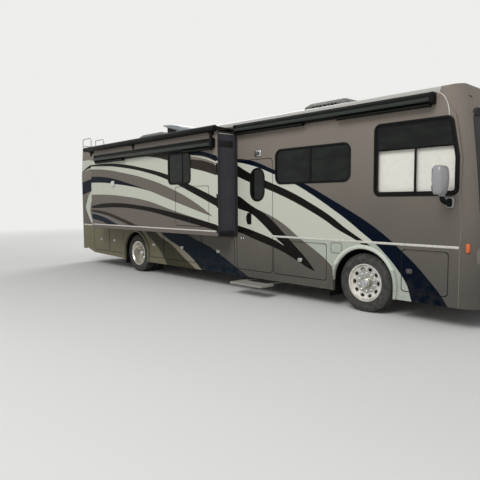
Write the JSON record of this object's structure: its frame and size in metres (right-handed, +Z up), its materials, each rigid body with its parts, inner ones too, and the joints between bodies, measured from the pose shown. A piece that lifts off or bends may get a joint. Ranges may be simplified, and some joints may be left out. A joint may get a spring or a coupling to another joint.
{
  "type": "class A motorhome",
  "caption": "Class A motorhome with curb and street slide-out rooms drawn out, entry door and step, storage bay doors, patio awning, rear ladder and steered front wheels.",
  "frame": {"origin": "centre of the whole coach's box in plan, on the ground under the tyres", "axes": "+X towards the front of the coach, +Y towards the street (driver's) side, +Z up"},
  "size_m": [11.6999, 3.806, 3.6272],
  "materials": {
    "body_paint": "glossy metallic taupe paint with cream, black and navy sweeps",
    "chassis_black": "satin black paint",
    "engine_iron": "painted cast iron",
    "deck_grey": "coated steel and board",
    "roof_white": "gel-coated fibreglass roof",
    "tinted_glass": "dark tinted safety glass",
    "lamp_lens": "moulded lamp lenses",
    "black_trim": "black powder coat and moulded trim",
    "silver_paint": "silver metallic paint",
    "shroud_white": "weathered moulded shroud",
    "bright_aluminium": "polished aluminium tube",
    "awning_fabric": "coated woven awning fabric",
    "seat_leather": "stitched leather",
    "interior_white": "pleated blinds and wall board",
    "step_grey": "ribbed aluminium tread",
    "vent_white": "translucent moulded lid",
    "wheel_rubber": "soft-grip rim",
    "tyre_rubber": "black tyre rubber",
    "polished_rim": "polished forged aluminium"
  },
  "bodies": {
    "coach": {"chassis_frame": "chassis_black", "engine_block": "engine_iron", "front_axle": "chassis_black", "rear_axle": "chassis_black", "floor_deck": "deck_grey", "storage_bays": "deck_grey", "roof_shell": "roof_white", "side_wall_curb": "body_paint", "side_wall_street": "body_paint", "skirt_curb": "body_paint", "skirt_street": "body_paint", "front_cap": "body_paint", "rear_cap": "body_paint", "windshield": "tinted_glass", "side_windows": "tinted_glass", "lamps": "lamp_lens", "front_grille": "black_trim", "mirrors": "silver_paint", "air_conditioners": "shroud_white", "rear_ladder": "bright_aluminium", "patio_awning": "black_trim", "topper_fabric": "awning_fabric", "cab_seats": "seat_leather", "dashboard": "black_trim", "interior_fittings": "interior_white"},
    "slide_out_curb": {"slide_curb_room": "body_paint", "slide_curb_glass": "tinted_glass", "slide_curb_awnings": "black_trim"},
    "slide_out_street": {"slide_street_room": "body_paint", "slide_street_glass": "tinted_glass", "slide_street_awnings": "black_trim"},
    "media_hatch": {"media_hatch": "body_paint"},
    "entry_door": {"entry_door": "body_paint", "entry_door_glass": "tinted_glass"},
    "entry_step": {"entry_step": "step_grey"},
    "engine_hatch": {"engine_hatch": "body_paint"},
    "roof_vent_lid": {"roof_vent_lid": "vent_white"},
    "steering_wheel": {"steering_wheel": "wheel_rubber"},
    "knuckle_left": {"knuckle_left": "chassis_black"},
    "knuckle_right": {"knuckle_right": "chassis_black"},
    "wheel_front_left": {"tyre_front_left": "tyre_rubber", "rim_front_left": "polished_rim"},
    "wheel_front_right": {"tyre_front_right": "tyre_rubber", "rim_front_right": "polished_rim"},
    "wheels_rear_left": {"tyres_rear_left": "tyre_rubber", "rims_rear_left": "polished_rim"},
    "wheels_rear_right": {"tyres_rear_right": "tyre_rubber", "rims_rear_right": "polished_rim"},
    "bay_door_curb_1": {"bay_door_curb_1": "body_paint"},
    "bay_door_curb_2": {"bay_door_curb_2": "body_paint"},
    "bay_door_curb_3": {"bay_door_curb_3": "body_paint"},
    "bay_door_curb_4": {"bay_door_curb_4": "body_paint"},
    "bay_door_curb_5": {"bay_door_curb_5": "body_paint"},
    "bay_door_curb_6": {"bay_door_curb_6": "body_paint"},
    "bay_door_curb_7": {"bay_door_curb_7": "body_paint"},
    "bay_door_street_1": {"bay_door_street_1": "body_paint"},
    "bay_door_street_2": {"bay_door_street_2": "body_paint"},
    "bay_door_street_3": {"bay_door_street_3": "body_paint"},
    "bay_door_street_4": {"bay_door_street_4": "body_paint"},
    "bay_door_street_5": {"bay_door_street_5": "body_paint"}
  },
  "joints": [
    {"name": "slide_curb_travel", "type": "slide", "parent": "coach", "child": "slide_out_curb", "axis": [0, 1, 0], "range_m": [0, 0.451], "deforming": ["topper_fabric"]},
    {"name": "slide_street_travel", "type": "slide", "parent": "coach", "child": "slide_out_street", "axis": [0, -1, 0], "range_m": [0, 0.451], "deforming": ["topper_fabric"]},
    {"name": "media_hatch_swing", "type": "hinge", "parent": "slide_out_curb", "child": "media_hatch", "pos_m": [0.287, -1.775, 2.044], "axis": [-1, 0, 0], "range_deg": [0, 85]},
    {"name": "entry_door_swing", "type": "hinge", "parent": "coach", "child": "entry_door", "pos_m": [2.061, -1.295, 1.48], "axis": [0, 0, 1], "range_deg": [0, 90]},
    {"name": "entry_step_travel", "type": "slide", "parent": "coach", "child": "entry_step", "axis": [0, 1, 0], "range_m": [0, 0.42]},
    {"name": "engine_hatch_swing", "type": "hinge", "parent": "coach", "child": "engine_hatch", "pos_m": [-5.75, 0, 1.364], "axis": [0, 1, 0], "range_deg": [0, 75]},
    {"name": "roof_vent_lid_swing", "type": "hinge", "parent": "coach", "child": "roof_vent_lid", "pos_m": [-1.222, -0.56, 3.394], "axis": [0, 1, 0], "range_deg": [-14, 30]},
    {"name": "bay_door_curb_1_swing", "type": "hinge", "parent": "coach", "child": "bay_door_curb_1", "pos_m": [-4.4237, -1.295, 1.029], "axis": [-1, 0, 0], "range_deg": [0, 88]},
    {"name": "bay_door_curb_2_swing", "type": "hinge", "parent": "coach", "child": "bay_door_curb_2", "pos_m": [-3.6187, -1.295, 1.029], "axis": [-1, 0, 0], "range_deg": [0, 88]},
    {"name": "bay_door_curb_3_swing", "type": "hinge", "parent": "coach", "child": "bay_door_curb_3", "pos_m": [-1.733, -1.295, 1.029], "axis": [-1, 0, 0], "range_deg": [0, 88]},
    {"name": "bay_door_curb_4_swing", "type": "hinge", "parent": "coach", "child": "bay_door_curb_4", "pos_m": [-0.713, -1.295, 1.029], "axis": [-1, 0, 0], "range_deg": [0, 88]},
    {"name": "bay_door_curb_5_swing", "type": "hinge", "parent": "coach", "child": "bay_door_curb_5", "pos_m": [0.522, -1.295, 1.029], "axis": [-1, 0, 0], "range_deg": [0, 88]},
    {"name": "bay_door_curb_6_swing", "type": "hinge", "parent": "coach", "child": "bay_door_curb_6", "pos_m": [2.697, -1.295, 1.029], "axis": [-1, 0, 0], "range_deg": [0, 88]},
    {"name": "bay_door_curb_7_swing", "type": "hinge", "parent": "coach", "child": "bay_door_curb_7", "pos_m": [4.997, -1.295, 1.029], "axis": [-1, 0, 0], "range_deg": [0, 88]},
    {"name": "bay_door_street_1_swing", "type": "hinge", "parent": "coach", "child": "bay_door_street_1", "pos_m": [-4.053, 1.295, 1.029], "axis": [1, 0, 0], "range_deg": [0, 88]},
    {"name": "bay_door_street_2_swing", "type": "hinge", "parent": "coach", "child": "bay_door_street_2", "pos_m": [-1.153, 1.295, 1.029], "axis": [1, 0, 0], "range_deg": [0, 88]},
    {"name": "bay_door_street_3_swing", "type": "hinge", "parent": "coach", "child": "bay_door_street_3", "pos_m": [0.627, 1.295, 1.029], "axis": [1, 0, 0], "range_deg": [0, 88]},
    {"name": "bay_door_street_4_swing", "type": "hinge", "parent": "coach", "child": "bay_door_street_4", "pos_m": [2.412, 1.295, 1.029], "axis": [1, 0, 0], "range_deg": [0, 88]},
    {"name": "bay_door_street_5_swing", "type": "hinge", "parent": "coach", "child": "bay_door_street_5", "pos_m": [4.997, 1.295, 1.029], "axis": [1, 0, 0], "range_deg": [0, 88]},
    {"name": "steer_left", "type": "hinge", "parent": "coach", "child": "knuckle_left", "pos_m": [3.992, 0.88, 0.465], "axis": [0, 0, 1], "range_deg": [-40, 40]},
    {"name": "wheel_front_left_spin", "type": "hinge", "parent": "knuckle_left", "child": "wheel_front_left", "pos_m": [3.992, 1.112, 0.465], "axis": [0, 1, 0], "continuous": true},
    {"name": "wheels_rear_left_spin", "type": "hinge", "parent": "coach", "child": "wheels_rear_left", "pos_m": [-2.635, 0.95, 0.465], "axis": [0, 1, 0], "continuous": true},
    {"name": "steer_right", "type": "hinge", "parent": "coach", "child": "knuckle_right", "pos_m": [3.992, -0.88, 0.465], "axis": [0, 0, 1], "range_deg": [-40, 40]},
    {"name": "wheel_front_right_spin", "type": "hinge", "parent": "knuckle_right", "child": "wheel_front_right", "pos_m": [3.992, -1.112, 0.465], "axis": [0, 1, 0], "continuous": true},
    {"name": "wheels_rear_right_spin", "type": "hinge", "parent": "coach", "child": "wheels_rear_right", "pos_m": [-2.635, -0.95, 0.465], "axis": [0, 1, 0], "continuous": true},
    {"name": "steering_wheel_turn", "type": "hinge", "parent": "coach", "child": "steering_wheel", "pos_m": [5.172, 0.64, 1.67], "axis": [-0.6691, 0, 0.7431], "range_deg": [-600, 600]}
  ],
  "couplings": [
    {"joint": "steer_right", "follows": "steer_left", "ratio": 1},
    {"joint": "steering_wheel_turn", "follows": "steer_left", "ratio": 15}
  ]
}
